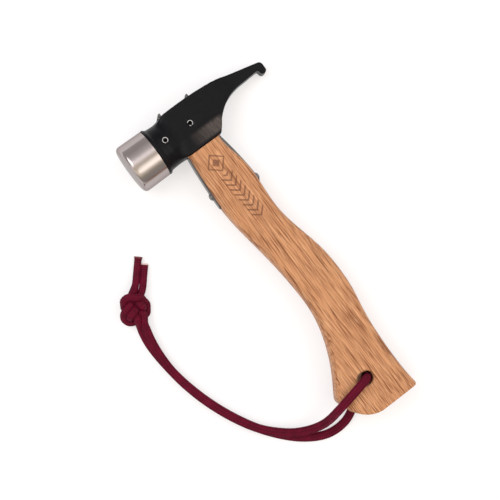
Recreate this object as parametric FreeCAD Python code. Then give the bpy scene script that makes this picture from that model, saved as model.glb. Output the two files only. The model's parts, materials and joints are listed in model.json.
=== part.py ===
import FreeCAD, Part
import math
import os
from FreeCAD import Placement, Rotation, Vector

# Tent-peg hammer with a forged head, a steel striking cap, a hardwood handle, two steel
# straps and a doubled lanyard cord. Every rigid piece is drawn level: x runs along the head
# towards the peg hook, y runs up the handle towards the head with 0 at the head's lower
# edge, and z is the thickness with 0 on the mid-plane. The hammer is then rolled on to its
# flange and the side of its block, with the handle just clear of the surface, and only the
# cord is drawn straight in the row's own frame. All sizes are in millimetres.

# ---- driving dimensions -------------------------------------------------------------------
HEAD_AXIS_Y = 18.9        # height of the striking axis above the head's lower edge
CAP_JOINT_X = -34.7       # plane where the cap sits on the head
CAP_LENGTH = 24.6
CAP_R_BACK = 20.7         # the cap is a little wider at its striking face
CAP_R_FACE = 21.0
CAP_EDGE_R = 3.6
CAP_CHAMFER = 0.4
SPIGOT_R = 8.0
SPIGOT_LENGTH = 15.0
FLANGE_R = 20.9
FLANGE_LENGTH = 1.9
FILLET_END_R = 19.0       # the flange runs down into the neck by a hollow 3.6 long
FILLET_MID_R = 19.6
FILLET_LENGTH = 3.6
FILLET_MID = 1.3
BORE_SPARE = 0.4          # the spigot bore is this much deeper than the spigot
WAIST_R = 18.7
WAIST_X = -24.0           # the round neck ends here and turns into the flat-sided block
BLOCK_X = -11.0           # the block is full size from here on
BLOCK_TOP = 39.2
BLOCK_HALF_T = 12.5
BLOCK_FOOT_HALF_T = 9.9   # the lower third of each side leans in towards the lower edge
BLOCK_BEND_Y = 13.0
BLOCK_BEND_SOFT = 3.5     # how far the soft bend reaches above and below
NECK_STATIONS = [(WAIST_X, 0.0), (-19.5, 0.4), (-15.0, 0.85), (BLOCK_X, 1.0)]
ARM_HALF_T = 6.0
TAPER_START_X = 30.0      # the block thins to the arm between these two
TAPER_END_X = 53.0
FINGER_TIP = (74.75, 18.8)

EYE_HALF_T = 7.5
EYE_CORNER_R = 2.0
EYE_FRONT_X = (-16.4, -14.6)    # at the lower edge and at the top
EYE_REAR_X = (15.3, 14.1)
EYE_TOP = BLOCK_TOP

STRAP_T = 1.3
STRAP_HALF_W = 4.5
STRAP_END_Y = -48.0
STRAP_BEND_Y = -22.0
EAR_RISE = 3.0
EAR_REACH = 3.4
EAR_CREST = 0.3           # flat on the fold
EAR_ROOT = 1.9            # thickness of the folded metal at its root
EAR_CLEARANCE = 0.05

PIN_R = 2.65
PIN_WALL = 0.8
PIN_SLOT = 0.9
PIN_LEAD_R = 0.35         # chamfer at each end of a pin
PIN_LEAD_L = 0.5
PIN_Y = 20.8
CAP_PIN_X = -24.0
CAP_PIN_LENGTH = 36.0
EYE_PIN_X = 0.8
EYE_PIN_LENGTH = 25.0

FRONT_SCREW_Y = -36.0
REAR_SCREW_Y = -43.5      # in the middle of the strap's round end
SCREW_SHANK_R = 1.5
SCREW_LENGTH = 12.0
SCREW_HEAD_R = 3.0
SCREW_HEAD_H = 1.8
SCREW_POINT_L = 3.0
SCREW_POINT_R = 0.4
SCREW_RIM_H = 0.5
RECESS_L = 3.0
RECESS_W = 0.7
RECESS_DEPTH = 1.1
SEAT_GAP = 0.05

FAR = 60.0                # reach of the tools that cut right through
SHOULDER_GAP = 0.2        # between the head and the handle's shoulder
TENON_RECESS = 0.4        # the tenon and wedge end this far below the head's top

WEDGE_DEPTH = 12.5
WEDGE_TOP_T = 3.0
WEDGE_TIP_T = 1.0
WEDGE_HALF_L = 10.5

HOLE_X = -6.6
HOLE_Y = -224.0
HOLE_R = 4.8
HOLE_HALF_T = 12.0        # half the handle's thickness at the hole
HOLE_BEVEL = 1.0

# handle stations: y, left edge x, right edge x, half thickness, corner radius
HANDLE_STATIONS = [
    (-SHOULDER_GAP, -15.2, 14.0, 11.2, 5.0),
    (-22.0, -17.2, 17.2, 11.4, 5.0),
    (-46.0, -18.4, 19.0, 11.6, 5.5),
    (-72.0, -16.6, 18.0, 11.8, 7.0),
    (-88.0, -14.3, 19.9, 12.0, 7.5),
    (-103.0, -12.3, 23.4, 12.0, 8.0),
    (-122.0, -10.3, 27.3, 12.0, 8.0),
    (-143.0, -9.2, 28.6, 12.0, 8.0),
    (-160.0, -10.0, 27.7, 12.0, 8.0),
    (-175.0, -13.1, 25.3, 12.0, 8.0),
    (-191.0, -18.6, 22.9, 12.1, 7.5),
    (-206.0, -25.9, 21.9, 11.8, 7.0),
    (-222.0, -35.6, 21.3, 11.9, 6.5),
    (-238.0, -43.0, 21.5, 12.9, 6.5),
    (-256.0, -47.0, 23.4, 14.5, 5.5),
]
BUTT_Y = -252.4

# ---- lanyard cord, in the row's own frame -------------------------------------------------
# A soft 6 mm braid that lies pressed flat, 7 mm wide and 5 mm thick. One strand leaves the
# top of the hole and falls over the heel of the butt, the other leaves underneath, and the
# upper one comes to lie on the lower one before both go into the knot.
CORD_R = 2.45
UPPER_LEG = [
    (-14.9, -118.9, 17.35),
    (-13.27, -118.9, 29.9),
    (-17.7, -119.6, 34.4),
    (-27.5, -121.8, 35.5),
    (-38.5, -123.9, 37.2),
    (-48.2, -126.3, 33.4),
    (-56.5, -129.0, 24.0),
    (-65.0, -130.3, 14.5),
    (-74.5, -128.6, 9.0),
    (-84.0, -124.6, 7.6),
    (-92.8, -118.9, 7.5),
    (-108.2, -104.2, 7.5),
    (-120.3, -83.1, 7.5),
    (-129.2, -61.0, 7.5),
    (-134.7, -40.5, 7.5),
    (-137.5, -22.0, 7.5),
    (-137.2, -5.0, 7.2),
    (-135.6, 7.5, 6.8),
    (-132.6, 19.0, 7.0),
    (-130.5, 27.5, 7.6),
]
LOWER_LEG = [
    (-14.9, -118.9, 17.35),
    (-16.83, -118.9, 2.5),
    (-26.0, -124.0, 2.5),
    (-34.0, -132.0, 2.5),
    (-44.5, -139.4, 2.5),
    (-56.5, -141.6, 2.5),
    (-69.0, -139.8, 2.5),
    (-82.0, -132.6, 2.5),
    (-94.0, -122.2, 2.5),
    (-108.5, -104.6, 2.5),
    (-120.3, -83.5, 2.5),
    (-129.2, -61.4, 2.5),
    (-134.8, -41.0, 2.5),
    (-138.0, -22.4, 2.5),
    (-139.4, -5.0, 2.5),
    (-139.2, 8.0, 2.5),
    (-136.6, 19.4, 3.4),
    (-133.5, 27.5, 5.6),
]
LONG_TAIL = [
    (-127.5, 39.0, 8.2),
    (-119.8, 48.4, 6.6),
    (-112.2, 57.6, 4.0),
    (-104.0, 66.6, 2.6),
]
SHORT_TAIL = [
    (-124.5, 34.0, 8.2),
    (-116.8, 42.9, 6.8),
    (-109.9, 51.4, 4.0),
    (-103.0, 59.2, 2.6),
]
KNOT_CENTRE = (-130.9, 33.8, 8.4)
KNOT_AXIS = (0.6, 0.8, 0.0)
KNOT_HALF_L = 14.0
KNOT_R = 11.7
KNOT_END_R = 6.5
KNOT_HALF_H = 8.2


def polyline(points):
    return Part.makePolygon([Vector(*p) for p in points])


def arc(start, middle, end):
    return Part.Arc(Vector(*start), Vector(*middle), Vector(*end)).toShape()


def line(start, end):
    return Part.makeLine(Vector(*start), Vector(*end))


def prism(edges, direction):
    """A closed outline pushed along direction."""
    return Part.Face(Part.Wire(edges)).extrude(Vector(*direction))


def revolve_about_head_axis(points):
    """Turns an outline of (x, radius) points and arc triples about the striking axis."""
    edges = []
    for piece in points:
        flat = [(x, HEAD_AXIS_Y + r, 0) for x, r in piece]
        edges.append(arc(*flat) if len(flat) == 3 else line(*flat))
    face = Part.Face(Part.Wire(edges))
    return face.revolve(Vector(0, HEAD_AXIS_Y, 0), Vector(1, 0, 0), 360)


# ---- head ---------------------------------------------------------------------------------
def head_side_outline():
    """Outline of the block, arm and finger, seen from the flat side."""
    z = -FAR
    top_start = (BLOCK_X, 39.15, z)
    top_end = (42.0, 36.8, z)
    finger_top = (74.6, 29.3, z)
    finger_out_top = (77.8, 26.3, z)
    finger_out_low = (77.8, 21.85, z)
    finger_tip = (*FINGER_TIP, z)
    finger_in_low = (71.7, 21.85, z)
    notch_low = (71.7, 22.6, z)
    notch_high = (70.5, 23.8, z)
    arm_root = (55.6, 22.9, z)
    arm_curve = (36.9, 18.6, z)
    block_rear = (23.6, 8.6, z)
    block_heel = (20.2, 3.9, z)
    block_corner = (16.7, 0, z)
    return [
        arc(top_start, (12.0, 39.3, z), top_end),
        line(top_end, finger_top),
        arc(finger_top, (77.0, 28.0, z), finger_out_top),
        line(finger_out_top, finger_out_low),
        arc(finger_out_low, finger_tip, finger_in_low),
        line(finger_in_low, notch_low),
        arc(notch_low, (71.35, 23.45, z), notch_high),
        line(notch_high, arm_root),
        arc(arm_root, arm_curve, block_rear),
        line(block_rear, block_heel),
        line(block_heel, block_corner),
        line(block_corner, (BLOCK_X, 0, z)),
        line((BLOCK_X, 0, z), top_start),
    ]


def head_plan_outline():
    """Thickness of the block and arm, seen from above: full, then an S-shaped taper."""
    y = -FAR
    middle_x = (TAPER_START_X + TAPER_END_X) / 2
    middle_t = (BLOCK_HALF_T + ARM_HALF_T) / 2
    half_run = middle_x - TAPER_START_X
    half_turn = math.atan2(BLOCK_HALF_T - middle_t, half_run)
    radius = math.hypot(half_run, BLOCK_HALF_T - middle_t) / (2 * math.sin(half_turn))
    bulge_x = radius * math.sin(half_turn)
    bulge_t = radius * (1 - math.cos(half_turn))
    edges = []
    ends = []
    for side in (1, -1):
        start = (BLOCK_X, y, side * BLOCK_HALF_T)
        taper = (TAPER_START_X, y, side * BLOCK_HALF_T)
        bend_out = (TAPER_START_X + bulge_x, y, side * (BLOCK_HALF_T - bulge_t))
        middle = (middle_x, y, side * middle_t)
        bend_in = (TAPER_END_X - bulge_x, y, side * (ARM_HALF_T + bulge_t))
        arm = (TAPER_END_X, y, side * ARM_HALF_T)
        tip = (2 * FAR, y, side * ARM_HALF_T)
        edges += [line(start, taper), arc(taper, bend_out, middle), arc(middle, bend_in, arm)]
        edges.append(line(arm, tip))
        ends += [start, tip]
    edges += [line(ends[0], ends[2]), line(ends[1], ends[3])]
    return Part.__sortEdges__(edges)


def block_section_outline():
    """End view of the block: flat sides that lean in below a soft bend."""
    x = BLOCK_X - 1
    lean = (BLOCK_HALF_T - BLOCK_FOOT_HALF_T) / BLOCK_BEND_Y
    bend = BLOCK_BEND_SOFT
    above = BLOCK_BEND_Y + bend
    below = BLOCK_BEND_Y - bend
    edges = []
    for side in (1, -1):
        top = (x, FAR, side * BLOCK_HALF_T)
        flat_end = (x, above, side * BLOCK_HALF_T)
        knee = (x, BLOCK_BEND_Y, side * (BLOCK_HALF_T - lean * bend / 4))
        lean_start = (x, below, side * (BLOCK_HALF_T - lean * bend))
        foot = (x, -1.0, side * (BLOCK_FOOT_HALF_T - lean))
        edges += [line(top, flat_end), arc(flat_end, knee, lean_start), line(lean_start, foot)]
    edges.append(line((x, FAR, BLOCK_HALF_T), (x, FAR, -BLOCK_HALF_T)))
    foot_t = BLOCK_FOOT_HALF_T - lean
    edges.append(line((x, -1.0, foot_t), (x, -1.0, -foot_t)))
    return Part.__sortEdges__(edges)


def neck_section(x, share):
    """Section between the round neck (share 0) and the block's six-sided one (share 1)."""
    corners = [
        (BLOCK_TOP, BLOCK_HALF_T),
        (BLOCK_BEND_Y, BLOCK_HALF_T),
        (0.0, BLOCK_FOOT_HALF_T),
        (0.0, -BLOCK_FOOT_HALF_T),
        (BLOCK_BEND_Y, -BLOCK_HALF_T),
        (BLOCK_TOP, -BLOCK_HALF_T),
    ]

    def blended(y, z):
        reach = math.hypot(y - HEAD_AXIS_Y, z)
        scale = (1 - share) * WAIST_R / reach + share
        return (x, HEAD_AXIS_Y + (y - HEAD_AXIS_Y) * scale, z * scale)

    edges = []
    for (y0, z0), (y1, z1) in zip(corners, corners[1:] + corners[:1]):
        start, end = blended(y0, z0), blended(y1, z1)
        if share == 1:
            edges.append(line(start, end))
        else:
            edges.append(arc(start, blended((y0 + y1) / 2, (z0 + z1) / 2), end))
    return Part.Wire(edges)


def eye_space(top=EYE_TOP, bottom=0.0):
    """The tapered eye that the tenon and both straps fill, between two heights."""

    def rounded(y):
        share = y / EYE_TOP
        front = EYE_FRONT_X[0] + share * (EYE_FRONT_X[1] - EYE_FRONT_X[0])
        rear = EYE_REAR_X[0] + share * (EYE_REAR_X[1] - EYE_REAR_X[0])
        r = EYE_CORNER_R
        k = r * (1 - math.sqrt(0.5))
        t = EYE_HALF_T
        edges = [
            line((front + r, y, -t), (rear - r, y, -t)),
            arc((rear - r, y, -t), (rear - k, y, -t + k), (rear, y, -t + r)),
            line((rear, y, -t + r), (rear, y, t - r)),
            arc((rear, y, t - r), (rear - k, y, t - k), (rear - r, y, t)),
            line((rear - r, y, t), (front + r, y, t)),
            arc((front + r, y, t), (front + k, y, t - k), (front, y, t - r)),
            line((front, y, t - r), (front, y, -t + r)),
            arc((front, y, -t + r), (front + k, y, -t + k), (front + r, y, -t)),
        ]
        return Part.Wire(edges)

    return Part.makeLoft([rounded(bottom), rounded(top)], True, True)


def cross_hole(x, radius=PIN_R):
    """A cylinder right through the thickness, for a spring pin at x."""
    return Part.makeCylinder(radius, 2 * FAR, Vector(x, PIN_Y, -FAR), Vector(0, 0, 1))


def spigot(radius, length):
    return Part.makeCylinder(radius, length, Vector(CAP_JOINT_X, HEAD_AXIS_Y, 0), Vector(1, 0, 0))


def make_head_body():
    """Forged head: flange and round neck, flat-sided eye block, arm and peg finger."""
    side = prism(head_side_outline(), (0, 0, 2 * FAR))
    plan = prism(head_plan_outline(), (0, 2 * FAR, 0))
    section = prism(block_section_outline(), (2 * FAR, 0, 0))
    block = side.common(plan).common(section)
    neck = Part.makeLoft([neck_section(x, share) for x, share in NECK_STATIONS], True, False)
    flange_end = CAP_JOINT_X + FLANGE_LENGTH
    fillet_end = (flange_end + FILLET_LENGTH, FILLET_END_R)
    collar = revolve_about_head_axis([
        [(CAP_JOINT_X, 0), (CAP_JOINT_X, FLANGE_R)],
        [(CAP_JOINT_X, FLANGE_R), (flange_end, FLANGE_R)],
        [(flange_end, FLANGE_R), (flange_end + FILLET_MID, FILLET_MID_R), fillet_end],
        [fillet_end, (WAIST_X, WAIST_R)],
        [(WAIST_X, WAIST_R), (WAIST_X, 0)],
        [(WAIST_X, 0), (CAP_JOINT_X, 0)],
    ])
    body = collar.fuse([neck, block]).removeSplitter()
    bore = spigot(SPIGOT_R, SPIGOT_LENGTH + BORE_SPARE)
    tools = [eye_space(EYE_TOP + 1, -1.0), bore, cross_hole(CAP_PIN_X), cross_hole(EYE_PIN_X)]
    return body.cut(tools)


def make_striking_cap():
    """Stainless cap with a rounded face edge, turned in one piece with its spigot."""
    face_x = CAP_JOINT_X - CAP_LENGTH
    rim_x = face_x + CAP_EDGE_R
    k = CAP_EDGE_R * (1 - math.sqrt(0.5))
    chamfer = CAP_CHAMFER
    cap = revolve_about_head_axis([
        [(CAP_JOINT_X, 0), (CAP_JOINT_X, CAP_R_BACK - chamfer)],
        [(CAP_JOINT_X, CAP_R_BACK - chamfer), (CAP_JOINT_X - chamfer, CAP_R_BACK)],
        [(CAP_JOINT_X - chamfer, CAP_R_BACK), (rim_x, CAP_R_FACE)],
        [(rim_x, CAP_R_FACE), (face_x + k, CAP_R_FACE - k), (face_x, CAP_R_FACE - CAP_EDGE_R)],
        [(face_x, CAP_R_FACE - CAP_EDGE_R), (face_x, 0)],
        [(face_x, 0), (CAP_JOINT_X, 0)],
    ])
    return cap.fuse(spigot(SPIGOT_R, SPIGOT_LENGTH)).removeSplitter().cut(cross_hole(CAP_PIN_X))


def make_spring_pin(x, length):
    """Slotted spring pin: a rolled C of spring steel with chamfered ends."""
    end = length / 2
    outer = PIN_R
    inner = PIN_R - PIN_WALL
    points = [(inner, -end), (outer - PIN_LEAD_R, -end), (outer, PIN_LEAD_L - end)]
    points += [(outer, end - PIN_LEAD_L), (outer - PIN_LEAD_R, end), (inner, end), (inner, -end)]
    face = Part.Face(polyline([(x + r, PIN_Y, z) for r, z in points]))
    tube = face.revolve(Vector(x, PIN_Y, 0), Vector(0, 0, 1), 360)
    slot = Part.makeBox(PIN_SLOT, 2 * outer, length + 2,
                        Vector(x - PIN_SLOT / 2, PIN_Y - 2 * outer, -end - 1))
    return tube.cut(slot)


# ---- handle -------------------------------------------------------------------------------
def handle_section(y, left, right, half_t, radius):
    k = radius * (1 - math.sqrt(0.5))
    edges = [
        line((left + radius, y, -half_t), (right - radius, y, -half_t)),
        arc((right - radius, y, -half_t), (right - k, y, k - half_t), (right, y, radius - half_t)),
        line((right, y, radius - half_t), (right, y, half_t - radius)),
        arc((right, y, half_t - radius), (right - k, y, half_t - k), (right - radius, y, half_t)),
        line((right - radius, y, half_t), (left + radius, y, half_t)),
        arc((left + radius, y, half_t), (left + k, y, half_t - k), (left, y, half_t - radius)),
        line((left, y, half_t - radius), (left, y, radius - half_t)),
        arc((left, y, radius - half_t), (left + k, y, k - half_t), (left + radius, y, -half_t)),
    ]
    return Part.Wire(edges)


def butt_outline():
    """Outline that trims the butt to its heel corner, chamfered heel, flat end and toe."""
    z = -FAR
    heel = (-36.4, -221.5, z)
    heel_low = (-35.2, -230.5, z)
    chamfer_end = (-31.6, -240.0, z)
    end_start = (-13.0, BUTT_Y, z)
    end_stop = (20.0, BUTT_Y, z)
    toe = (22.9, -249.0, z)
    return [
        line((-36.4, 2.0, z), heel),
        arc(heel, (-36.6, -226.0, z), heel_low),
        line(heel_low, chamfer_end),
        arc(chamfer_end, (-24.4, -248.0, z), end_start),
        line(end_start, end_stop),
        arc(end_stop, (22.2, -251.4, z), toe),
        line(toe, (40.0, -249.0, z)),
        line((40.0, -249.0, z), (40.0, 2.0, z)),
        line((40.0, 2.0, z), (-36.4, 2.0, z)),
    ]


def make_grip():
    """The handle below the head, without its tenon, holes and straps."""
    grip = Part.makeLoft([handle_section(*s) for s in HANDLE_STATIONS], True, False)
    return grip.common(prism(butt_outline(), (0, 0, 2 * FAR)))


def lanyard_hole():
    """Bore for the cord with a bevelled mouth on each side."""
    half_t = HOLE_HALF_T
    hole = Part.makeCylinder(HOLE_R, 2 * FAR, Vector(HOLE_X, HOLE_Y, -FAR), Vector(0, 0, 1))
    cones = []
    for side in (1, -1):
        base = Vector(HOLE_X, HOLE_Y, side * (half_t - HOLE_BEVEL))
        cones.append(Part.makeCone(HOLE_R, HOLE_R + 2 * HOLE_BEVEL, 2 * HOLE_BEVEL,
                                   base, Vector(0, 0, side)))
    return hole.fuse(cones)


# ---- straps, screws, wedge ----------------------------------------------------------------
def wood_edge(side, y):
    """Where the handle's front (side -1) or rear (side 1) edge is, and how it leans there."""
    column = 1 if side < 0 else 2
    for above, below in zip(HANDLE_STATIONS, HANDLE_STATIONS[1:]):
        if below[0] <= y <= above[0]:
            lean = (above[column] - below[column]) / (above[0] - below[0])
            return below[column] + lean * (y - below[0]), lean


def strap_blank(side):
    """A strap before it is fitted: down the eye wall, out along the handle's edge, with its
    top folded over the head's upper edge towards the striking side. side is -1 for the front
    strap and 1 for the rear one."""
    eye = EYE_FRONT_X if side < 0 else EYE_REAR_X
    out = side * STRAP_T
    top = EYE_TOP + EAR_RISE
    x_top = eye[1] + (eye[1] - eye[0]) * EAR_RISE / EYE_TOP
    z = -STRAP_HALF_W
    width = Vector(0, 0, 2 * STRAP_HALF_W)
    foot, _ = wood_edge(side, STRAP_END_Y)
    bend, _ = wood_edge(side, STRAP_BEND_Y)
    outer = [(x_top, top), (eye[0], 0), (bend + out, STRAP_BEND_Y), (foot + out, STRAP_END_Y)]
    inner = [(foot - out, STRAP_END_Y), (bend - out, STRAP_BEND_Y), (eye[0] - out, 0)]
    inner.append((x_top - out, top))
    edges = [line((*outer[0], z), (*outer[1], z))]
    edges.append(arc((*outer[1], z), (*outer[2], z), (*outer[3], z)))
    edges.append(line((*outer[3], z), (*inner[0], z)))
    edges.append(arc((*inner[0], z), (*inner[1], z), (*inner[2], z)))
    edges.append(line((*inner[2], z), (*inner[3], z)))
    edges.append(line((*inner[3], z), (*outer[0], z)))
    strip = prism(edges, width)
    fold_x = min(x_top, x_top - out)
    ear_floor = EYE_TOP + EAR_CLEARANCE
    ear = [
        (fold_x + STRAP_T, top, z),
        (fold_x - EAR_CREST, top, z),
        (fold_x - EAR_REACH, ear_floor, z),
        (fold_x - EAR_REACH + EAR_ROOT, ear_floor, z),
        (fold_x, top - EAR_ROOT, z),
        (fold_x + STRAP_T, top - EAR_ROOT, z),
        (fold_x + STRAP_T, top, z),
    ]
    strip = strip.fuse(Part.Face(polyline(ear)).extrude(width))
    round_y = STRAP_END_Y + STRAP_HALF_W
    upper = Part.makeBox(2 * FAR, 2 * FAR, 2 * STRAP_HALF_W, Vector(-FAR, round_y, z))
    round_end = Part.makeCylinder(STRAP_HALF_W, 2 * FAR, Vector(-FAR, round_y, 0), Vector(1, 0, 0))
    return strip.common(upper.fuse(round_end)).removeSplitter()


def screw_seat(side):
    """Where a screw's head sits on its strap, and the direction that it faces."""
    y = FRONT_SCREW_Y if side < 0 else REAR_SCREW_Y
    edge, lean = wood_edge(side, y)
    out = Vector(side, -side * lean, 0)
    out.normalize()
    return Vector(edge + side * STRAP_T, y, 0) + out * SEAT_GAP, out


def make_screw(side):
    """Pan-head wood screw with a cross recess and a plain shank."""
    seat, out = screw_seat(side)
    point = Part.makeCone(SCREW_POINT_R, SCREW_SHANK_R, SCREW_POINT_L,
                          Vector(0, 0, -SCREW_LENGTH), Vector(0, 0, 1))
    shank = Part.makeCylinder(SCREW_SHANK_R, SCREW_LENGTH - SCREW_POINT_L,
                              Vector(0, 0, SCREW_POINT_L - SCREW_LENGTH)).fuse(point)
    r = SCREW_HEAD_R
    h = SCREW_HEAD_H
    outline = [
        line((0, 0, 0), (r, 0, 0)),
        line((r, 0, 0), (r, 0, SCREW_RIM_H)),
        arc((r, 0, SCREW_RIM_H), (0.72 * r, 0, 0.8 * h), (0, 0, h)),
        line((0, 0, h), (0, 0, 0)),
    ]
    head = Part.Face(Part.Wire(outline)).revolve(Vector(0, 0, 0), Vector(0, 0, 1), 360)
    recess = []
    for length, width in ((RECESS_L, RECESS_W), (RECESS_W, RECESS_L)):
        corner = Vector(-length / 2, -width / 2, h - RECESS_DEPTH)
        recess.append(Part.makeBox(length, width, h, corner))
    screw = head.fuse(shank).removeSplitter().cut(recess)
    screw.Placement = Placement(seat, Rotation(Vector(0, 0, 1), out))
    return screw


def make_wedge():
    """Hardwood wedge that spreads the tenon in the eye, thinner at its tip."""
    x = -WEDGE_HALF_L
    top = EYE_TOP - TENON_RECESS
    tip = top - WEDGE_DEPTH
    outline = [
        (x, top, -WEDGE_TOP_T / 2),
        (x, top, WEDGE_TOP_T / 2),
        (x, tip, WEDGE_TIP_T / 2),
        (x, tip, -WEDGE_TIP_T / 2),
        (x, top, -WEDGE_TOP_T / 2),
    ]
    return Part.Face(polyline(outline)).extrude(Vector(2 * WEDGE_HALF_L, 0, 0))


def rigid_pieces():
    """Every rigid piece in the level frame, by node name."""
    grip = make_grip()
    straps = {side: strap_blank(side) for side in (-1, 1)}
    screws = {side: make_screw(side) for side in (-1, 1)}
    wedge = make_wedge()
    tenon = eye_space(EYE_TOP - TENON_RECESS, -SHOULDER_GAP)
    handle = grip.fuse(tenon).removeSplitter()
    handle = handle.cut([wedge, cross_hole(EYE_PIN_X), lanyard_hole()])
    fitted = {}
    for side, blank in straps.items():
        on_grip = blank.cut(grip)
        above_grip = Part.makeBox(2 * FAR, 2 * FAR, 2 * FAR, Vector(-FAR, -SHOULDER_GAP, -FAR))
        in_eye = blank.common(above_grip)
        handle = handle.cut(in_eye)
        fitted[side] = on_grip.cut(screws[side])
        handle = handle.cut(screws[side])
    return {
        "head_body": make_head_body(),
        "striking_cap": make_striking_cap(),
        "cap_pin": make_spring_pin(CAP_PIN_X, CAP_PIN_LENGTH),
        "eye_pin": make_spring_pin(EYE_PIN_X, EYE_PIN_LENGTH),
        "handle": handle,
        "tenon_wedge": wedge,
        "front_strap": fitted[-1],
        "rear_strap": fitted[1],
        "front_strap_screw": screws[-1],
        "rear_strap_screw": screws[1],
    }


def rest_placement(pieces):
    """Rolls the hammer on to its flange and block side, and centres it on the floor."""
    roll = math.degrees(math.atan2(FLANGE_R - BLOCK_HALF_T, TAPER_START_X - CAP_JOINT_X))
    rolled = Placement(Vector(0, 0, 0), Rotation(Vector(0, 1, 0), roll))
    boxes = []
    for shape in pieces.values():
        turned = shape.copy()
        turned.Placement = rolled.multiply(turned.Placement)
        boxes.append(turned.optimalBoundingBox(False, False))
    middle_x = (min(b.XMin for b in boxes) + max(b.XMax for b in boxes)) / 2
    middle_y = (min(b.YMin for b in boxes) + max(b.YMax for b in boxes)) / 2
    floor = min(b.ZMin for b in boxes)
    return Placement(Vector(-middle_x, -middle_y, -floor), Rotation(Vector(0, 1, 0), roll))


# ---- cord ---------------------------------------------------------------------------------
def cord_path(name, route):
    """Straight runs joined by tangent arcs, each as large as its two runs allow."""
    points = [Vector(*p) for p in route]
    edges = []
    radii = []
    start = points[0]
    for before, corner, after in zip(points, points[1:], points[2:]):
        run_in = (before - corner).Length
        run_out = (after - corner).Length
        back = (before - corner).normalize()
        ahead = (after - corner).normalize()
        half_turn = (math.pi - back.getAngle(ahead)) / 2
        tangent = 0.45 * min(run_in, run_out)
        radius = tangent / math.tan(half_turn)
        radii.append(radius)
        into = corner + back * tangent
        out_of = corner + ahead * tangent
        inward = (back + ahead).normalize()
        middle = corner + inward * (radius / math.cos(half_turn) - radius)
        edges += [Part.LineSegment(start, into).toShape(), Part.Arc(into, middle, out_of).toShape()]
        start = out_of
    edges.append(Part.LineSegment(start, points[-1]).toShape())
    wire = Part.Wire(edges)
    print(f"{name}: {wire.Length:.1f} mm, arc radii", [round(r, 1) for r in radii])
    return wire


def cord_tube(name, route):
    wire = cord_path(name, route)
    start = Vector(*route[0])
    heading = Vector(*route[1]) - start
    ring = Part.Wire(Part.makeCircle(CORD_R, start, heading))
    tube = wire.makePipeShell([ring], True, False)
    section = math.pi * CORD_R ** 2
    print(f"{name}: volume over section times length {tube.Volume / (section * wire.Length):.4f}")
    return tube


def make_knot():
    """Outer shape of the doubled overhand knot: a short barrel, a little flat above and below."""
    profile = [
        line((-KNOT_HALF_L, 0, 0), (-KNOT_HALF_L, KNOT_END_R, 0)),
        arc((-KNOT_HALF_L, KNOT_END_R, 0), (0, KNOT_R, 0), (KNOT_HALF_L, KNOT_END_R, 0)),
        line((KNOT_HALF_L, KNOT_END_R, 0), (KNOT_HALF_L, 0, 0)),
        line((KNOT_HALF_L, 0, 0), (-KNOT_HALF_L, 0, 0)),
    ]
    barrel = Part.Face(Part.Wire(profile)).revolve(Vector(0, 0, 0), Vector(1, 0, 0), 360)
    slab = Part.makeBox(2 * FAR, 2 * FAR, 2 * KNOT_HALF_H, Vector(-FAR, -FAR, -KNOT_HALF_H))
    knot = barrel.common(slab)
    turn = Rotation(Vector(1, 0, 0), Vector(*KNOT_AXIS))
    knot.Placement = Placement(Vector(*KNOT_CENTRE), turn)
    return knot


def cord_pieces():
    knot = make_knot()
    routes = {
        "cord_upper_leg": UPPER_LEG,
        "cord_lower_leg": LOWER_LEG,
        "cord_long_tail": LONG_TAIL,
        "cord_short_tail": SHORT_TAIL,
    }
    pieces = {name: cord_tube(name, route).cut(knot) for name, route in routes.items()}
    pieces["cord_knot"] = knot
    return pieces


def main():
    os.makedirs("parts", exist_ok=True)
    level = rigid_pieces()
    placement = rest_placement(level)
    for name, shape in level.items():
        shape.Placement = placement.multiply(shape.Placement)
        shape.exportStep(f"parts/{name}.step")
    for name, shape in cord_pieces().items():
        shape.exportStep(f"parts/{name}.step")
    face = placement.multVec(Vector(CAP_JOINT_X - CAP_LENGTH, HEAD_AXIS_Y, 0))
    finger = placement.multVec(Vector(*FINGER_TIP, 0))
    print("striking face centre", face, "outward", placement.Rotation.multVec(Vector(-1, 0, 0)))
    print("peg finger tip", finger, "towards the butt")


main()
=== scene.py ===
import json
import math

import bpy
import numpy as np
from mathutils import Matrix, Vector


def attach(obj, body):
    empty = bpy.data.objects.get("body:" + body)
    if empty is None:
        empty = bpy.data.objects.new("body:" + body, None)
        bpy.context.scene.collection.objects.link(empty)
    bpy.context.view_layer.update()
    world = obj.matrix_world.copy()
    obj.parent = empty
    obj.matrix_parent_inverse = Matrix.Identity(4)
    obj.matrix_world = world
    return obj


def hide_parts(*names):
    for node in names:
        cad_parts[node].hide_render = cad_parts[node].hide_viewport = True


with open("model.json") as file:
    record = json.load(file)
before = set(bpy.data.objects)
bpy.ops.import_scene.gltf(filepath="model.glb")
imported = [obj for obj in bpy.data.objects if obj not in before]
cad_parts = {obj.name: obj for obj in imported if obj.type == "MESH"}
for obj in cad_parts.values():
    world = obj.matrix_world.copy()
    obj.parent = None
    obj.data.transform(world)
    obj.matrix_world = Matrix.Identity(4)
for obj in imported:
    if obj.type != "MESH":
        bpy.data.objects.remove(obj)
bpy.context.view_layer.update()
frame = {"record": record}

# ---- Camera -------------------------------------------------------------------------------
# The hammer lies on its side and is seen from straight above. The camera is turned about
# its own line of sight, so that the head points to the upper right.
VIEW_CENTRE = (-0.0281, 0.0170)
VIEW_HEIGHT = 1.1
VIEW_TURN = math.radians(-36.7)
VIEW_HALF_WIDTH = 0.2
VIEW_HALF_DEPTH = 1.0835

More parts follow.
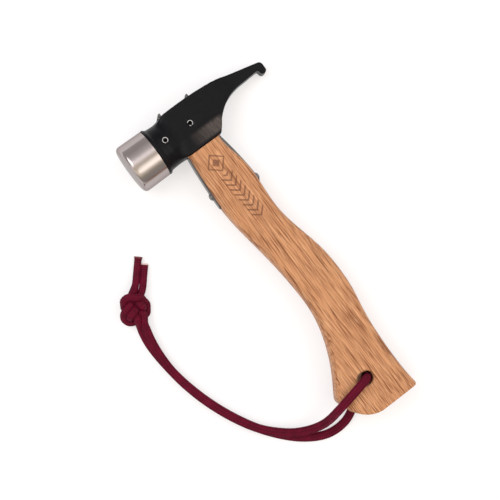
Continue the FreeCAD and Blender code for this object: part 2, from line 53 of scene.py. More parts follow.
camera_data = bpy.data.cameras.new("camera")
camera_data.angle = 2 * math.atan(VIEW_HALF_WIDTH / VIEW_HALF_DEPTH)
camera = bpy.data.objects.new("camera", camera_data)
camera.location = (*VIEW_CENTRE, VIEW_HEIGHT)
camera.rotation_euler = (0, 0, VIEW_TURN)
bpy.context.collection.objects.link(camera)
bpy.context.scene.camera = camera
bpy.context.scene.view_settings.view_transform = "Standard"


# ---- Lanyard cord -------------------------------------------------------------------------
# A soft 6 mm polyester braid, doubled through the hole in the butt. It has a core, so it
# presses flat where it lies, and both strands end in one doubled overhand knot.
class Value:
    """A number that a shader works out for each point, for use in sums."""

    def __init__(self, tree, socket):
        self.tree = tree
        self.socket = socket

    def math(self, operation, *others):
        node = self.tree.nodes.new("ShaderNodeMath")
        node.operation = operation
        for slot, value in zip(node.inputs, (self, *others)):
            feed(self.tree, slot, value)
        return Value(self.tree, node.outputs[0])

    def __add__(self, other):
        return self.math("ADD", other)

    def __sub__(self, other):
        return self.math("SUBTRACT", other)

    def __rsub__(self, other):
        return self.math("MULTIPLY", -1.0).math("ADD", other)

    def __mul__(self, other):
        return self.math("MULTIPLY", other)

    def __truediv__(self, other):
        return self.math("DIVIDE", other)

    def __pow__(self, other):
        return self.math("POWER", other)

    def __neg__(self):
        return self.math("MULTIPLY", -1.0)

    __radd__ = __add__
    __rmul__ = __mul__

    def inside(self, edge, soft):
        """1 where this value is under the edge, 0 above it, with a soft step between."""
        return ((edge - self) / soft + 0.5).math("MAXIMUM", 0.0).math("MINIMUM", 1.0)


def feed(tree, slot, value):
    if isinstance(value, Value):
        tree.links.new(value.socket, slot)
    elif isinstance(slot.default_value, (int, float)):
        slot.default_value = value
    else:
        slot.default_value = value if len(slot.default_value) == len(value) else (*value, 1.0)


class Finish:
    """One material, and the nodes that give it its look."""

    def __init__(self, name, **fixed):
        self.material = bpy.data.materials.new(name)
        self.material.use_nodes = True
        self.tree = self.material.node_tree
        self.shader = self.tree.nodes["Principled BSDF"]
        self.give(**fixed)

    def give(self, **sockets):
        for name, value in sockets.items():
            feed(self.tree, self.shader.inputs[name.replace("_", " ")], value)

    def node(self, kind, settings=None, output=0, **sockets):
        node = self.tree.nodes.new("ShaderNode" + kind)
        for key, value in (settings or {}).items():
            if key == "stops":
                set_stops(node.color_ramp, value)
            else:
                setattr(node, key, value)
        for name, value in sockets.items():
            feed(self.tree, node.inputs[name.replace("_", " ")], value)
        return Value(self.tree, node.outputs[output])

    def place(self, kind="Object"):
        return self.node("TexCoord", output=("Generated", "Normal", "UV", "Object").index(kind))

    def split(self, vector):
        node = self.tree.nodes.new("ShaderNodeSeparateXYZ")
        feed(self.tree, node.inputs[0], vector)
        return [Value(self.tree, out) for out in node.outputs]

    def noise(self, place, scale, detail=3.0, roughness=0.5):
        """Soft noise from 0 to 1. scale is in waves a metre, the same or one for each axis."""
        stretched = self.node("VectorMath", {"operation": "MULTIPLY"}, **{"Vector": place})
        slot = stretched.socket.node.inputs[1]
        slot.default_value = scale if isinstance(scale, tuple) else (scale,) * 3
        return self.node("TexNoise", Vector=stretched, Scale=1.0, Detail=detail,
                         Roughness=roughness)

    def blend(self, share, low, high):
        """A colour between two colours."""
        node = self.tree.nodes.new("ShaderNodeMix")
        node.data_type = "RGBA"
        feed(self.tree, node.inputs[0], share)
        feed(self.tree, node.inputs[6], low)
        feed(self.tree, node.inputs[7], high)
        return Value(self.tree, node.outputs[2])

    def ramp(self, value, stops):
        return self.node("ValToRGB", {"stops": stops}, Fac=value)

    def relief(self, height, depth):
        """Small relief, depth in metres for a height of 1."""
        self.give(Normal=self.node("Bump", Height=height, Distance=depth, Strength=1.0))


def set_stops(ramp, stops):
    while len(ramp.elements) < len(stops):
        ramp.elements.new(0.5)
    for element, (position, colour) in zip(ramp.elements, stops):
        element.position = position
        element.color = (*colour, 1.0)


CORD_LEG = (0.0036, 0.00245)       # half width and half height where it lies pressed flat
CORD_IN_KNOT = (0.0032, 0.0029)
CORD_TAIL = (0.0030, 0.00265)
CORD_MAROON = (0.138, 0.0040, 0.0230)
CORD_SHADE = (0.036, 0.0014, 0.0065)
BRAID_PITCH = 0.0062               # along the cord, for one full turn of a carrier
BRAID_CARRIERS = 8
BRAID_RELIEF = 0.00014
TAIL_LENGTH = 0.030                # the cord is rounder in this last stretch
RING_POINTS = 32
RING_STEP = 0.0007

UPPER_LEG = [
    (-0.0149, -0.1189, 0.01735),
    (-0.01327, -0.1189, 0.0299),
    (-0.0177, -0.1196, 0.0344),
    (-0.0275, -0.1218, 0.0355),
    (-0.0385, -0.1239, 0.0372),
    (-0.0482, -0.1263, 0.0334),
    (-0.0565, -0.1290, 0.0240),
    (-0.0650, -0.1303, 0.0145),
    (-0.0745, -0.1286, 0.0090),
    (-0.0840, -0.1246, 0.0076),
    (-0.0928, -0.1189, 0.0075),
    (-0.1082, -0.1042, 0.0075),
    (-0.1203, -0.0831, 0.0075),
    (-0.1292, -0.0610, 0.0075),
    (-0.1347, -0.0405, 0.0075),
    (-0.1375, -0.0220, 0.0075),
    (-0.1372, -0.0050, 0.0072),
    (-0.1356, 0.0075, 0.0068),
    (-0.1326, 0.0190, 0.0070),
]
LOWER_LEG = [
    (-0.0149, -0.1189, 0.01735),
    (-0.01683, -0.1189, 0.0025),
    (-0.0260, -0.1240, 0.0025),
    (-0.0340, -0.1320, 0.0025),
    (-0.0445, -0.1394, 0.0025),
    (-0.0565, -0.1416, 0.0025),
    (-0.0690, -0.1398, 0.0025),
    (-0.0820, -0.1326, 0.0025),
    (-0.0940, -0.1222, 0.0025),
    (-0.1085, -0.1046, 0.0025),
    (-0.1203, -0.0835, 0.0025),
    (-0.1292, -0.0614, 0.0025),
    (-0.1348, -0.0410, 0.0025),
    (-0.1380, -0.0224, 0.0025),
    (-0.1394, -0.0050, 0.0025),
    (-0.1392, 0.0080, 0.0025),
    (-0.1366, 0.0194, 0.0034),
]
LONG_TAIL = [(-0.1198, 0.0484, 0.0066), (-0.1122, 0.0576, 0.0040), (-0.1040, 0.0666, 0.0027)]
SHORT_TAIL = [(-0.1168, 0.0429, 0.0068), (-0.1099, 0.0514, 0.0040), (-0.1030, 0.0592, 0.0027)]

KNOT_CENTRE = np.array([-0.1309, 0.0338, 0.0084])
KNOT_ALONG = np.array([0.6, 0.8, 0.0])
KNOT_LEFT = np.array([-0.8, 0.6, 0.0])
KNOT_STRAND = 0.0055               # distance that the pressed strands keep in the knot
KNOT_HALF_LENGTH = 0.0140
KNOT_HALF_WIDTH = 0.0117
KNOT_HALF_HEIGHT = 0.0082
KNOT_SPIN = math.radians(40)
KNOT_PRESS = 0.45                  # how short the tightened knot is pressed
KNOT_ENDS = 0.0095                 # the legs and tails take over this far from its middle
LOOSE_KNOT = (0.0070, -0.0060, 0.0063)   # scale of the open knot on each of its axes
LOOSE_LEAD = 0.022                 # straight lead at each end of the open knot
STRAND_STEP = 0.0022               # distance between points while the knot settles
PULL_ROUNDS = 420
PULL_STEP = 0.00012                # how far the ends are drawn in each round
PRESS_ROUNDS = 40
STRAND_STIFFNESS = 0.06
KNOT_THROAT = 0.0046               # strands this near the axis may leave through the ends
LENGTH_NUDGE = 0.0002


def even_points(path, step):
    runs = np.linalg.norm(np.diff(path, axis=0), axis=1)
    along = np.concatenate([[0.0], np.cumsum(runs)])
    where = np.linspace(0, along[-1], int(round(along[-1] / step)) + 1)
    return np.stack([np.interp(where, along, path[:, k]) for k in range(3)], axis=1)


def loose_overhand():
    """Two strands side by side in an open overhand knot about the local x axis."""
    t = np.linspace(-2.05, 2.05, 241)
    loop = np.stack([t ** 3 - 3 * t, t ** 4 - 4 * t ** 2 + 1.4, 2 * t - t ** 5 / 5], axis=1)
    loop *= np.array(LOOSE_KNOT)
    heading = np.gradient(loop, axis=0)
    side = np.stack([-heading[:, 1], heading[:, 0], 0 * t], axis=1)
    side /= np.linalg.norm(side, axis=1)[:, None]
    cos, sin = math.cos(KNOT_SPIN), math.sin(KNOT_SPIN)
    spin = np.array([[1, 0, 0], [0, cos, sin], [0, -sin, cos]])
    reach = abs(loop[0, 0]) + LOOSE_LEAD
    strands = []
    for sign in (1, -1):
        offset = sign * KNOT_STRAND / 2
        turned = (loop + side * offset) @ spin
        path = np.vstack([[(-reach, offset, 0)], turned, [(reach, offset, 0)]])
        strands.append(even_points(path, STRAND_STEP))
    count = min(len(s) for s in strands)
    return np.stack([s[:count] for s in strands])


def settle(strands, runs, rounds, pull, length_wall):
    """Lets the strands find their places: each keeps its length and is pushed off the other."""
    count = strands.shape[1]
    number = np.tile(np.arange(count), 2)
    owner = np.repeat([0, 1], count)
    beside = np.abs(number[:, None] - number[None, :]) <= 4
    apart = (owner[:, None] != owner[None, :]) | ~beside
    half = KNOT_STRAND / 2
    side_wall = KNOT_HALF_WIDTH - half
    roof = KNOT_HALF_HEIGHT - half
    for _ in range(rounds):
        strands[:, 0, 0] -= pull
        strands[:, -1, 0] += pull
        ends = strands[:, [0, -1]].copy()
        for _ in range(5):
            for _ in range(4):
                for first in (0, 1):
                    low = strands[:, first:-1:2]
                    high = strands[:, first + 1::2]
                    pairs = min(low.shape[1], high.shape[1])
                    gap = high[:, :pairs] - low[:, :pairs]
                    size = np.linalg.norm(gap, axis=2, keepdims=True)
                    shift = 0.5 * (size - runs[:, first::2][:, :pairs]) * gap / size
                    low[:, :pairs] += shift
                    high[:, :pairs] -= shift
                strands[:, [0, -1]] = ends
            bend = strands[:, :-2] + strands[:, 2:] - 2 * strands[:, 1:-1]
            strands[:, 1:-1] += STRAND_STIFFNESS * bend
            points = strands.reshape(-1, 3)
            gap = points[:, None, :] - points[None, :, :]
            size = np.linalg.norm(gap, axis=2) + 1e-9
            near = (size < KNOT_STRAND) & apart
            push = np.where(near, (KNOT_STRAND - size) / size * 0.5, 0.0)
            share = np.maximum(near.sum(axis=1) * 0.45, 1)[:, None]
            points += (push[:, :, None] * gap).sum(axis=1) / share
            radial = np.hypot(points[:, 1], points[:, 2])
            outside = (np.abs(points[:, 0]) > length_wall) & (radial > KNOT_THROAT)
            points[outside, 0] -= np.sign(points[outside, 0]) * LENGTH_NUDGE
            points[:, 1] = np.clip(points[:, 1], -side_wall, side_wall)
            points[:, 2] = np.clip(points[:, 2], -roof, roof)
            strands = points.reshape(2, count, 3)
        drawn = np.linalg.norm(np.diff(strands, axis=1), axis=2).sum(axis=1)
        if (drawn / runs.sum(axis=(1, 2))).max() > 1.03:
            break
    return strands


def pull_tight(strands):
    """Draws the knot up by its ends, then presses it short, as a thumb does."""
    runs = np.linalg.norm(np.diff(strands, axis=1), axis=2, keepdims=True)
    tight = settle(strands, runs, PULL_ROUNDS, PULL_STEP, 1.0)
    tight[:, :, 0] *= KNOT_PRESS
    runs = np.linalg.norm(np.diff(tight, axis=1), axis=2, keepdims=True)
    return settle(tight, runs, PRESS_ROUNDS, 0.0, KNOT_HALF_LENGTH - KNOT_STRAND / 2)


def knot_points(strand):
    """The part of a tightened strand that lies in the knot, in the row's frame."""
    inside = np.abs(strand[:, 0]) < KNOT_ENDS
    first = int(np.argmax(inside))
    last = len(strand) - int(np.argmax(inside[::-1]))
    local = strand[first:last]
    axes = np.array([KNOT_ALONG, KNOT_LEFT, [0, 0, 1]])
    return [tuple(p) for p in KNOT_CENTRE + local @ axes]


def spline_points(name, points):
    """The smooth line that follows the points, as a NURBS spline draws it."""
    curve = bpy.data.curves.new(name, "CURVE")
    curve.dimensions = "3D"
    curve.resolution_u = 8
    spline = curve.splines.new("NURBS")
    spline.points.add(len(points) - 1)
    for knot, point in zip(spline.points, points):
        knot.co = (*point, 1.0)
    spline.order_u = 3
    spline.use_endpoint_u = True
    guide = bpy.data.objects.new(name, curve)
    mesh = bpy.data.meshes.new_from_object(guide)
    line = np.array([v.co[:] for v in mesh.vertices])
    bpy.data.objects.remove(guide)
    bpy.data.meshes.remove(mesh)
    return line


def flat_sides(line):
    """The direction of the cord's wide side at each point: level, and never flipping."""
    heading = np.gradient(line, axis=0)
    heading /= np.linalg.norm(heading, axis=1)[:, None]
    side = np.cross([0.0, 0.0, 1.0], heading)
    weight = np.linalg.norm(side, axis=1)
    for i in range(1, len(side)):
        if side[i] @ side[i - 1] < 0:
            side[i] = -side[i]
        if weight[i] < 0.5:
            side[i] = side[i] + side[i - 1] * (0.5 - weight[i])
    for _ in range(60):
        side[1:-1] = (side[:-2] + 2 * side[1:-1] + side[2:]) / 4
        side -= (side * heading).sum(axis=1)[:, None] * heading
        side /= np.linalg.norm(side, axis=1)[:, None] + 1e-9
    return heading, side


def braid_tube(name, points, tail_length, flare):
    """A braided cord along the points: an oval tube with the relief of its carriers."""
    path = spline_points(name, points)
    line = even_points(path, RING_STEP)
    heading, side = flat_sides(line)
    upward = np.cross(heading, side)
    along = np.arange(len(line)) * RING_STEP
    total = along[-1]
    to_knot = np.linalg.norm(line - KNOT_CENTRE, axis=1)
    in_knot = np.clip((0.019 - to_knot) / 0.006, 0, 1)
    in_tail = np.clip((along - (total - tail_length)) / 0.006, 0, 1) * (1 - in_knot)
    in_leg = 1 - in_knot - in_tail
    melted = np.clip(1 - (total - along) / 0.0035, 0, 1)
    turn = np.linspace(0, 2 * math.pi, RING_POINTS, endpoint=False)
    phase = BRAID_CARRIERS * turn[None, :] / 2
    twist = 2 * math.pi * along[:, None] / BRAID_PITCH * 2
    over = np.sin(phase + twist) * np.sin(phase - twist)
    relief = 1 + (BRAID_RELIEF / CORD_LEG[1]) * over * (1 - melted[:, None])
    sizes = [CORD_LEG, CORD_IN_KNOT, CORD_TAIL]
    shares = [in_leg, in_knot, in_tail]
    half_width = sum(share * size[0] for share, size in zip(shares, sizes))
    half_height = sum(share * size[1] for share, size in zip(shares, sizes))
    half_width *= 1 + flare * melted ** 2
    wide = side[:, None, :] * (half_width[:, None] * np.cos(turn))[:, :, None]
    tall = upward[:, None, :] * (half_height[:, None] * np.sin(turn))[:, :, None]
    rings = line[:, None, :] + (wide + tall) * relief[:, :, None]
    rings = np.maximum(rings, [-9, -9, 0.00002])
    count = len(line)
    vertices = [tuple(p) for p in rings.reshape(-1, 3)]
    faces = []
    for i in range(count - 1):
        for j in range(RING_POINTS):
            k = (j + 1) % RING_POINTS
            low, high = i * RING_POINTS, (i + 1) * RING_POINTS
            faces.append((low + j, low + k, high + k, high + j))
    for i, inward in ((0, True), (count - 1, False)):
        ring = [i * RING_POINTS + j for j in range(RING_POINTS)]
        faces.append(tuple(reversed(ring)) if inward else tuple(ring))
    mesh = bpy.data.meshes.new(name)
    mesh.from_pydata(vertices, [], faces)
    layer = mesh.uv_layers.new(name="UVMap")
    lengths = np.repeat(along, RING_POINTS)
    around = np.tile(turn / (2 * math.pi), count)
    for polygon in mesh.polygons:
        columns = [around[v] for v in polygon.vertices]
        wraps = len(polygon.vertices) == 4 and max(columns) - min(columns) > 0.5
        for loop, column in zip(polygon.loop_indices, columns):
            vertex = mesh.loops[loop].vertex_index
            shifted = column + 1.0 if wraps and column < 0.5 else column
            layer.data[loop].uv = (shifted, lengths[vertex] / 0.1)
    for polygon in mesh.polygons:
        polygon.use_smooth = len(polygon.vertices) == 4
    mesh.validate()
    piece = bpy.data.objects.new(name, mesh)
    bpy.context.collection.objects.link(piece)
    return piece, path


def make_braid_finish(name, end_colour, total):
    """Maroon polyester: yarn ends slant both ways, and shine a little where they are raised; the colour
    is painted lighter there and darker in the dips.
    """
    finish = Finish(name, Roughness=0.62, Sheen_Weight=0.07, Sheen_Roughness=0.4)
    finish.give(Sheen_Tint=(0.80, 0.16, 0.28), Specular_IOR_Level=0.08)
    u, v, _ = finish.split(finish.place("UV"))
    carriers = u * (BRAID_CARRIERS * math.pi)
    twist = v * (0.1 * 4 * math.pi / BRAID_PITCH)
    over = (carriers + twist).math("SINE") * (carriers - twist).math("SINE")
    yarn = ((carriers + twist) * 5.0).math("SINE") * over.math("MAXIMUM", 0.0)
    yarn = yarn + ((carriers - twist) * 5.0).math("SINE") * (-over).math("MAXIMUM", 0.0)
    patch = finish.noise(finish.place(), 130.0, 2.0)
    # Painted highlight and shade: the colour is lighter where the carriers are raised and darker in the
    # dips between them, over random patches.
    share = (over * 0.34 + yarn * 0.30 + (patch - 0.5) * 1.0 + 0.58).math("MINIMUM", 1.0)
    share = share.math("MAXIMUM", 0.0)
    colour = finish.blend(share, CORD_SHADE, CORD_MAROON)
    cut = v.inside((total - 0.0012) / 0.1, 0.004)
    finish.give(Base_Color=finish.blend(cut, end_colour, colour))
    finish.relief(over * 0.6 + yarn * 0.5, 0.00012)
    return finish


strands = pull_tight(loose_overhand())
cords = {
    "lower_cord": (LOWER_LEG, strands[0], LONG_TAIL, 0.22, (0.16, 0.05, 0.055)),
    "upper_cord": (UPPER_LEG, strands[1], SHORT_TAIL, 0.05, (0.62, 0.50, 0.48)),
}
for name, (leg, strand, tail, flare, end_colour) in cords.items():
    route = leg + knot_points(strand) + tail
    piece, path = braid_tube(name, route, TAIL_LENGTH, flare)
    length = float(np.linalg.norm(np.diff(path, axis=0), axis=1).sum())
    print(name, "length", round(length, 4))
    piece.data.materials.append(make_braid_finish(name + "_braid", end_colour, length).material)
    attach(piece, "root")
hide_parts("cord_lower_leg", "cord_long_tail", "cord_knot")
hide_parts("cord_upper_leg", "cord_short_tail")


# ---- Head ---------------------------------------------------------------------------------
# A steel forging with a flange and round neck for the cap, a flat-sided block with the eye,
# and a thinner arm with the peg finger. Its edges are rounded in the die, and it is blackened.
face_mount = [m for m in frame["record"]["mounts"] if m["name"] == "striking_face"][0]
HEAD_AXIS = -Vector(face_mount["axis"])
HEAD_FACE = Vector(face_mount["pos_m"])
ROLL = math.atan2(HEAD_AXIS.z, HEAD_AXIS.x)


def merged_copy(node, name):
    """A copy of a node's mesh with its doubled corners merged, which stands for the node."""
    bpy.ops.object.select_all(action="DESELECT")
    copy = bpy.data.objects[node].copy()
    copy.data = bpy.data.objects[node].data.copy()
    copy.name = name
    copy.data.materials.clear()
    for key in [k for k in copy.keys() if k.startswith("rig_")]:
        del copy[key]
    copy.parent = None
    copy.matrix_world = Matrix.Identity(4)
    bpy.context.collection.objects.link(copy)
    bpy.context.view_layer.objects.active = copy
    copy.select_set(True)
    bpy.ops.object.mode_set(mode="EDIT")
    bpy.ops.mesh.select_all(action="SELECT")
    bpy.ops.mesh.remove_doubles(threshold=0.000004)
    bpy.ops.mesh.customdata_custom_splitnormals_clear()
    bpy.ops.object.mode_set(mode="OBJECT")
    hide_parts(node)
    return copy


def apply(piece, kind, **settings):
    modifier = piece.modifiers.new(kind.lower(), kind)
    for key, value in settings.items():
        setattr(modifier, key, value)
    bpy.context.view_layer.objects.active = piece
    bpy.ops.object.modifier_apply(modifier=modifier.name)


def soften(piece, grain, passes):
    """Remeshes a piece evenly and rounds its edges by a few passes of smoothing."""
    apply(piece, "REMESH", mode="VOXEL", voxel_size=grain, use_smooth_shade=True)
    apply(piece, "SMOOTH", factor=0.5, iterations=passes)


HEAD_GRAIN = 0.0006
head = merged_copy("head_body", "forged_head")
soften(head, HEAD_GRAIN, 8)

HEAD_BLACK = (0.0022, 0.0022, 0.0034)
HEAD_WORN = (0.0058, 0.0058, 0.0078)
# A lighter band on the lower leaning face is a painted highlight, standing in for the reflection there.
HEAD_PAINTED_SHEEN = (0.1050, 0.0880, 0.0840)
SHEEN_BAND_LOW = 0.1075                         # the painted highlight band lies on the lower leaning face
SHEEN_BAND_HIGH = 0.1172
blackened = Finish("blackened_forging", Specular_IOR_Level=0.11)
place = blackened.place()
mottle = blackened.noise(place, 260.0, 4.0)
scale_marks = blackened.noise(place, 1700.0, 2.0)
x, y, _ = blackened.split(place)
# Painted highlight: the lighter band on the lower leaning face, broken into streaks that follow
# grinding marks.
sheen_band_mask = y.inside(SHEEN_BAND_HIGH, 0.0030) * (SHEEN_BAND_LOW - y).inside(0.0, 0.0020)
sheen_band_mask = sheen_band_mask * (-0.004 - x).inside(0.0, 0.020) * x.inside(0.0165, 0.004)
scratches = blackened.noise(place, (2600.0, 160.0, 160.0), 2.0)
painted_sheen = sheen_band_mask * (scratches * 2.0 - 0.35).math("MAXIMUM", 0.0).math("MINIMUM", 1.0)
black = blackened.blend(mottle, HEAD_BLACK, HEAD_WORN)
blackened.give(Base_Color=blackened.blend(painted_sheen * 0.9, black, HEAD_PAINTED_SHEEN))
blackened.give(Roughness=0.24 + mottle * 0.12 + scale_marks * 0.05)
blackened.relief(mottle * 0.5 + scale_marks * 0.18, 0.00022)
head.data.materials.append(blackened.material)
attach(head, "root")


# ---- Striking cap -------------------------------------------------------------------------
# Stainless steel, turned in one piece with the spigot that is pinned into the head. The
# tool left fine rings round its side and across its face.
STEEL_LIGHT = (0.470, 0.425, 0.415)
STEEL_DARK = (0.400, 0.362, 0.355)
turned = Finish("turned_stainless", Metallic=1.0, Specular_Tint=(0.55, 0.52, 0.52))
centred = turned.node("Mapping", {"vector_type": "TEXTURE"}, Vector=turned.place(),
                      Location=tuple(HEAD_FACE), Rotation=(0.0, -ROLL, 0.0))
depth, across, up = turned.split(centred)
from_axis = (across * across + up * up) ** 0.5
rings = turned.noise(turned.node("CombineXYZ", X=depth, Y=from_axis), 4200.0, 2.0)
cloud = turned.noise(centred, 120.0, 3.0)
turned.give(Base_Color=turned.blend(cloud * 0.6 + rings * 0.4, STEEL_DARK, STEEL_LIGHT))
turned.give(Roughness=0.13 + rings * 0.06 + cloud * 0.05)
turned.relief(rings, 0.000006)
cap = merged_copy("striking_cap", "turned_cap")
bpy.ops.object.shade_smooth_by_angle(angle=math.radians(28))
cap.data.materials.append(turned.material)
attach(cap, "root")


# ---- Spring pins --------------------------------------------------------------------------
# Two slotted spring pins, rolled from bright spring steel. One holds the cap's spigot and
# the other the handle's tenon, and both are driven through until they are flush.
PIN_MIDDLES = {"cap_pin": (-0.03222, 0.1259, 0.01959), "eye_pin": (-0.00763, 0.1259, 0.0164)}
PIN_BORE_R = 0.0021


def from_slanted_axis(finish, middle):
    """How far a point is from a line through the hammer's thickness."""
    x, y, z = finish.split(finish.place())
    aside = x - middle[0] - (z - middle[2]) * math.tan(ROLL)
    along = y - middle[1]
    return (aside * aside + along * along) ** 0.5


for node, middle in PIN_MIDDLES.items():
    spring = Finish(node + "_steel", Metallic=1.0)
    wear = spring.noise(spring.place(), 900.0, 3.0)
    bright = spring.blend(wear, (0.30, 0.30, 0.31), (0.66, 0.66, 0.66))
    # Painted shade: the steel inside the pin's bore is painted nearly black.
    painted_bore_shade = from_slanted_axis(spring, middle).inside(PIN_BORE_R, 0.0003)
    spring.give(Base_Color=spring.blend(painted_bore_shade, bright, (0.030, 0.028, 0.028)))
    spring.give(Roughness=0.22 + wear * 0.16)
    spring.relief(wear, 0.00003)
    pin = bpy.data.objects[node]
    pin.data.materials.clear()
    pin.data.materials.append(spring.material)


# ---- Handle -------------------------------------------------------------------------------
# One piece of oak with its grain along the handle, waisted above a flared butt. It is
# shaped, sanded and oiled, with a small mark burned in below the head.
OAK_DARK = (0.375, 0.158, 0.066)
OAK_MID = (0.500, 0.233, 0.104)
OAK_LIGHT = (0.590, 0.300, 0.144)
OAK_FLECK = (0.690, 0.395, 0.215)
PORE = (0.185, 0.058, 0.020)
BURN = (0.120, 0.038, 0.020)
MARK_TOP = Vector((-0.0085, 0.0883))     # middle of the burned diamond
MARK_FOOT = Vector((-0.0040, 0.0335))    # lower end of the row of chevrons below it
MARK_LINE = 0.00060                      # half the width of a burned line
DIAMOND_R = 0.0080
HEART_R = 0.0038
CHEVRON_PITCH = 0.0052
CHEVRON_START = 0.0112                   # below the diamond's middle
CHEVRON_REACH = 0.0058                   # half the width of the row
HOLE_SHADE_R = 0.0060
HANDLE_GRAIN = 0.0008

handle = merged_copy("handle", "oak_handle")
soften(handle, HANDLE_GRAIN, 4)

oak = Finish("oiled_oak", Specular_IOR_Level=0.35)
place = oak.place()
x, y, z = oak.split(place)


def along_grain(waves_across, waves_along, detail=2.0):
    return oak.noise(grain_place, (waves_across, waves_along, waves_across * 0.3), detail)


drift = oak.noise(place, (45.0, 8.0, 45.0), 2.0) - 0.5
grain_place = oak.node("CombineXYZ", X=x + drift * 0.0016, Y=y, Z=z + drift * 0.0010)
year = along_grain(420.0, 2.5)
streak = along_grain(1700.0, 9.0, 3.0)
pores = along_grain(1700.0, 34.0, 1.0)
fine_pores = along_grain(2400.0, 60.0, 1.0)
fleck = along_grain(1100.0, 70.0, 1.0)
tone = (year - 0.5) * 0.6 + (streak - 0.5) * 1.3 + 0.5
colour = oak.ramp(tone, [(0.10, OAK_DARK), (0.42, OAK_MID), (0.85, OAK_LIGHT)])
early_wood = (1.25 - (year - 0.46).math("ABSOLUTE") * 3.0).math("MAXIMUM", 0.60)
pore = (pores.inside(0.420, 0.06) * early_wood).math("MINIMUM", 1.0)
fine_pore = fine_pores.inside(0.42, 0.08) * 0.6
colour = oak.blend(pore.math("MAXIMUM", fine_pore) * 0.92, colour, PORE)
colour = oak.blend((1.0 - fleck.inside(0.64, 0.06)) * 0.45, colour, OAK_FLECK)

mark_run = MARK_FOOT - MARK_TOP
mark_length = mark_run.length
ahead = mark_run / mark_length
down = (x - MARK_TOP.x) * ahead.x + (y - MARK_TOP.y) * ahead.y
aside = ((x - MARK_TOP.x) * ahead.y - (y - MARK_TOP.y) * ahead.x).math("ABSOLUTE")
from_middle = down.math("ABSOLUTE") + aside
diamond = (from_middle - DIAMOND_R).math("ABSOLUTE").inside(MARK_LINE * 1.4, 0.0002)
heart = from_middle.inside(HEART_R, 0.0002)
chevron_place = (down + aside * 0.9).math("MODULO", CHEVRON_PITCH)
chevrons = (chevron_place - CHEVRON_PITCH / 2).math("ABSOLUTE").inside(MARK_LINE * 1.5, 0.0002)
in_row = (CHEVRON_START - down).inside(0.0, 0.0002) * down.inside(mark_length, 0.0002)
chevrons = chevrons * in_row * aside.inside(CHEVRON_REACH, 0.0002)
on_face = (0.018 - z).inside(0.0, 0.001)
mark = (diamond.math("MAXIMUM", heart)).math("MAXIMUM", chevrons) * on_face
uneven = along_grain(1500.0, 500.0, 2.0)
mark = mark * (0.55 + uneven * 0.6).math("MINIMUM", 1.0)
colour = oak.blend(mark * 0.82, colour, BURN)

# Painted shade: the wood in and round the lanyard hole is painted dark.
painted_hole_shade = from_slanted_axis(oak, UPPER_LEG[0]).inside(HOLE_SHADE_R, 0.0012)
colour = oak.blend(painted_hole_shade * 0.9, colour, (0.050, 0.018, 0.010))
oak.give(Base_Color=colour)
oak.give(Roughness=0.48 + pore * 0.2 + (streak - 0.5) * 0.2)
oak.relief(0.5 - pore * 0.5 + (streak - 0.5) * 0.3 - mark * 0.4, 0.00016)
handle.data.materials.append(oak.material)
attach(handle, "root")


# ---- Tenon wedge --------------------------------------------------------------------------
# A plain hardwood wedge, driven into the top of the tenon to spread it in the eye.
wedge_wood = Finish("wedge_wood", Roughness=0.6)
grain = wedge_wood.noise(wedge_wood.place(), (500.0, 40.0, 900.0), 3.0)
wedge_wood.give(Base_Color=wedge_wood.blend(grain, (0.36, 0.19, 0.09), (0.62, 0.40, 0.22)))
wedge_wood.relief(grain, 0.0001)
wedge = bpy.data.objects["tenon_wedge"]
wedge.data.materials.clear()
wedge.data.materials.append(wedge_wood.material)


# ---- Straps -------------------------------------------------------------------------------
# Two steel strips that run from the top of the eye down the handle's front and rear edges.
# Each is folded over the head at the top and held to the wood by one screw.
strip = Finish("strap_steel", Metallic=1.0)
rolled = strip.noise(strip.place(), (900.0, 60.0, 900.0), 3.0)
dull = strip.noise(strip.place(), 200.0, 3.0)
steel = strip.blend(rolled * 0.6 + dull * 0.4, (0.050, 0.050, 0.052), (0.170, 0.170, 0.170))
strip.give(Base_Color=steel)
strip.give(Roughness=0.26 + rolled * 0.18)
strip.relief(rolled, 0.00004)
for node in ("front_strap", "rear_strap"):
    strap = bpy.data.objects[node]
    strap.data.materials.clear()
    strap.data.materials.append(strip.material)


# ---- Strap screws -------------------------------------------------------------------------
# Zinc-plated pan-head wood screws with a cross recess, one through the foot of each strap.
zinc = Finish("screw_zinc", Metallic=1.0)
plating = zinc.noise(zinc.place(), 700.0, 3.0)
zinc.give(Base_Color=zinc.blend(plating, (0.12, 0.12, 0.12), (0.32, 0.32, 0.32)))
zinc.give(Roughness=0.24 + plating * 0.2)
zinc.relief(plating, 0.00003)
for node in ("front_strap_screw", "rear_strap_screw"):
    screw = bpy.data.objects[node]
    screw.data.materials.clear()
    screw.data.materials.append(zinc.material)


# ---- Studio -------------------------------------------------------------------------------
# A pale matt floor, two soft lights overhead and a bright room with a few darker strips that
# the steel shows as bands. The floor glows a little, except under the head and the lanyard
# hole, so that it doesn't shine up through the bores.
FLOOR_SIZE = 6.0

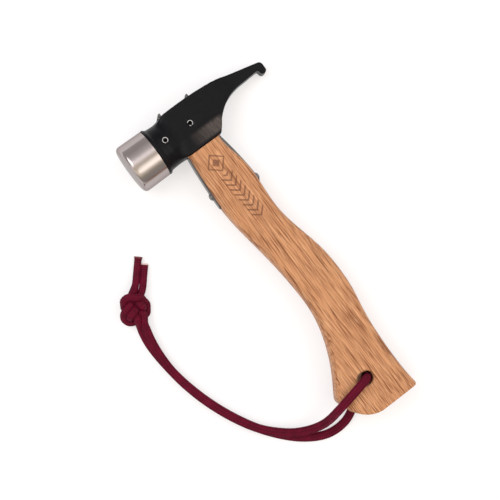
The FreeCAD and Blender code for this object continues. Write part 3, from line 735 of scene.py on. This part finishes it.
bpy.ops.object.select_all(action="DESELECT")
bpy.ops.mesh.primitive_plane_add(size=FLOOR_SIZE, location=(0, 0, -0.0002))
floor = bpy.context.active_object
floor.name = "floor"
paper = Finish("paper_floor", Base_Color=(0.42, 0.42, 0.44), Roughness=0.9)
paper.give(Emission_Strength=0.55)
x, y, _ = paper.split(paper.place())
under_head = (((x + 0.020) / 0.036) ** 2.0 + ((y - 0.126) / 0.013) ** 2.0).inside(1.0, 0.3)
under_hole = (((x + 0.0165) / 0.016) ** 2.0 + ((y + 0.119) / 0.016) ** 2.0).inside(1.0, 0.3)
shaded = under_head.math("MAXIMUM", under_hole)
paper.give(Emission_Color=paper.blend(shaded, (1.0, 1.0, 1.0), (0.0, 0.0, 0.0)))
floor.data.materials.append(paper.material)


def softbox(name, place, size, power, target=(0.0, 0.0, 0.02)):
    data = bpy.data.lights.new(name, "AREA")
    data.shape = "RECTANGLE"
    data.size, data.size_y = size
    data.energy = power
    light = bpy.data.objects.new(name, data)
    light.location = place
    aim = Vector(target) - Vector(place)
    light.rotation_euler = aim.to_track_quat("-Z", "Y").to_euler()
    bpy.context.collection.objects.link(light)
    return light


softbox("key_light", (-0.5, 0.9, 1.5), (1.2, 1.2), 11.0)
softbox("fill_light", (0.9, -0.7, 1.3), (1.4, 1.4), 6.5)

WARM = (1.0, 0.90, 0.75)
GREY = (1.0, 0.95, 0.94)
ROOM_BANDS = [        # degrees from overhead, positive towards the head's top, brightness, tint
    (-180, 0.8, GREY),
    (-90, 0.4, GREY),
    (-60, 0.5, WARM),
    (-35, 1.5, WARM),
    (-5, 0.8, WARM),
    (12, 1.8, GREY),
    (30, 0.8, GREY),
    (60, 0.5, GREY),
    (180, 0.8, GREY),
]
room = bpy.data.worlds.new("room")
bpy.context.scene.world = room
room.use_nodes = True
nodes = room.node_tree.nodes
links = room.node_tree.links
where = nodes.new("ShaderNodeTexCoord")
parts = nodes.new("ShaderNodeSeparateXYZ")
links.new(where.outputs["Generated"], parts.inputs[0])
angle = Value(room.node_tree, parts.outputs[1]).math("ARCTAN2", Value(room.node_tree, parts.outputs[2]))
bands = nodes.new("ShaderNodeValToRGB")
stops = [((a + 180) / 360, tuple(bright * c / 2 for c in tint)) for a, bright, tint in ROOM_BANDS]
set_stops(bands.color_ramp, stops)
links.new((angle / (2 * math.pi) + 0.5).socket, bands.inputs[0])
links.new(bands.outputs[0], nodes["Background"].inputs["Color"])
nodes["Background"].inputs["Strength"].default_value = 2.0
